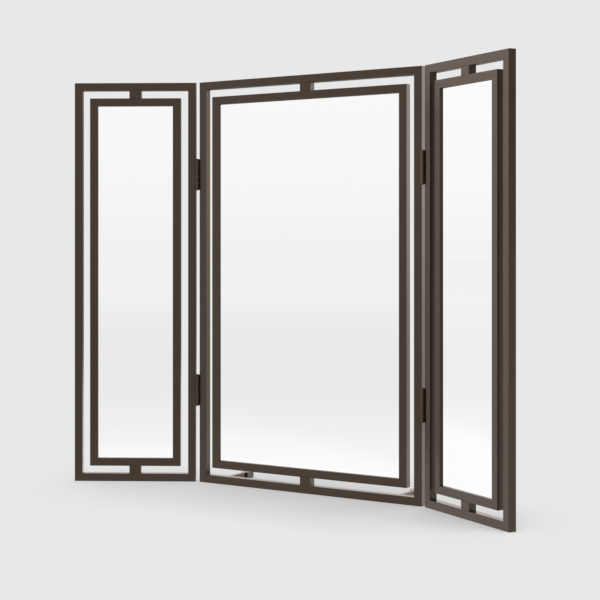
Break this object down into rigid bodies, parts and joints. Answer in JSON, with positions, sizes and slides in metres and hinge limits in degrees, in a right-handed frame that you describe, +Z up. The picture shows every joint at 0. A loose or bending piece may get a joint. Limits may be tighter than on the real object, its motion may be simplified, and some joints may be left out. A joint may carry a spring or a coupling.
{
  "type": "dressing table mirror",
  "caption": "Free-standing three-fold mirror: a centre panel and two hinged wings, each a double frame of slim square tube round a recessed mirror, with low feet behind.",
  "frame": {"origin": "middle of the underside of the centre panel's outer bottom rail", "axes": "+X to the viewer's right along the centre panel, +Y back from its mirror face, +Z up"},
  "size_m": [0.7262, 0.1713, 0.612],
  "materials": {
    "bronze_tube": "satin dark bronze powder coat",
    "mirror_glass": "silvered flat glass",
    "hinge_bronze": "dark bronze, slightly worn",
    "backing_board": "dark stained fibreboard",
    "strap_steel": "zinc-plated",
    "screw_steel": "zinc-plated"
  },
  "bodies": {
    "centre_panel": {"centre_outer_bottom_rail": "bronze_tube", "centre_outer_left_post": "bronze_tube", "centre_outer_top_rail": "bronze_tube", "centre_outer_right_post": "bronze_tube", "centre_inner_bottom_rail": "bronze_tube", "centre_inner_left_post": "bronze_tube", "centre_inner_top_rail": "bronze_tube", "centre_inner_right_post": "bronze_tube", "centre_top_tie": "bronze_tube", "centre_bottom_tie": "bronze_tube", "centre_mirror": "mirror_glass", "centre_backing_board": "backing_board", "centre_retaining_straps": "strap_steel", "centre_strap_screws": "screw_steel", "centre_hinge_screws": "hinge_bronze", "left_upper_hinge_frame_leaf": "hinge_bronze", "left_upper_hinge_pin": "hinge_bronze", "left_lower_hinge_frame_leaf": "hinge_bronze", "left_lower_hinge_pin": "hinge_bronze", "right_upper_hinge_frame_leaf": "hinge_bronze", "right_upper_hinge_pin": "hinge_bronze", "right_lower_hinge_frame_leaf": "hinge_bronze", "right_lower_hinge_pin": "hinge_bronze", "left_foot_bar": "bronze_tube", "right_foot_bar": "bronze_tube", "foot_end_blocks": "bronze_tube"},
    "left_wing": {"left_wing_outer_bottom_rail": "bronze_tube", "left_wing_outer_hinge_post": "bronze_tube", "left_wing_outer_top_rail": "bronze_tube", "left_wing_outer_free_post": "bronze_tube", "left_wing_inner_bottom_rail": "bronze_tube", "left_wing_inner_hinge_post": "bronze_tube", "left_wing_inner_top_rail": "bronze_tube", "left_wing_inner_free_post": "bronze_tube", "left_wing_top_tie": "bronze_tube", "left_wing_bottom_tie": "bronze_tube", "left_wing_mirror": "mirror_glass", "left_wing_backing_board": "backing_board", "left_wing_retaining_straps": "strap_steel", "left_wing_strap_screws": "screw_steel", "left_wing_hinge_screws": "hinge_bronze", "left_upper_hinge_wing_leaf": "hinge_bronze", "left_lower_hinge_wing_leaf": "hinge_bronze"},
    "right_wing": {"right_wing_outer_bottom_rail": "bronze_tube", "right_wing_outer_hinge_post": "bronze_tube", "right_wing_outer_top_rail": "bronze_tube", "right_wing_outer_free_post": "bronze_tube", "right_wing_inner_bottom_rail": "bronze_tube", "right_wing_inner_hinge_post": "bronze_tube", "right_wing_inner_top_rail": "bronze_tube", "right_wing_inner_free_post": "bronze_tube", "right_wing_top_tie": "bronze_tube", "right_wing_bottom_tie": "bronze_tube", "right_wing_mirror": "mirror_glass", "right_wing_backing_board": "backing_board", "right_wing_retaining_straps": "strap_steel", "right_wing_strap_screws": "screw_steel", "right_wing_hinge_screws": "hinge_bronze", "right_upper_hinge_wing_leaf": "hinge_bronze", "right_lower_hinge_wing_leaf": "hinge_bronze"}
  },
  "joints": [
    {"name": "left_wing_hinge", "type": "hinge", "parent": "centre_panel", "child": "left_wing", "pos_m": [-0.1915, -0.008, 0.306], "axis": [0, 0, 1], "range_deg": [-39, 150]},
    {"name": "right_wing_hinge", "type": "hinge", "parent": "centre_panel", "child": "right_wing", "pos_m": [0.1915, -0.008, 0.306], "axis": [0, 0, -1], "range_deg": [-39, 150]}
  ]
}
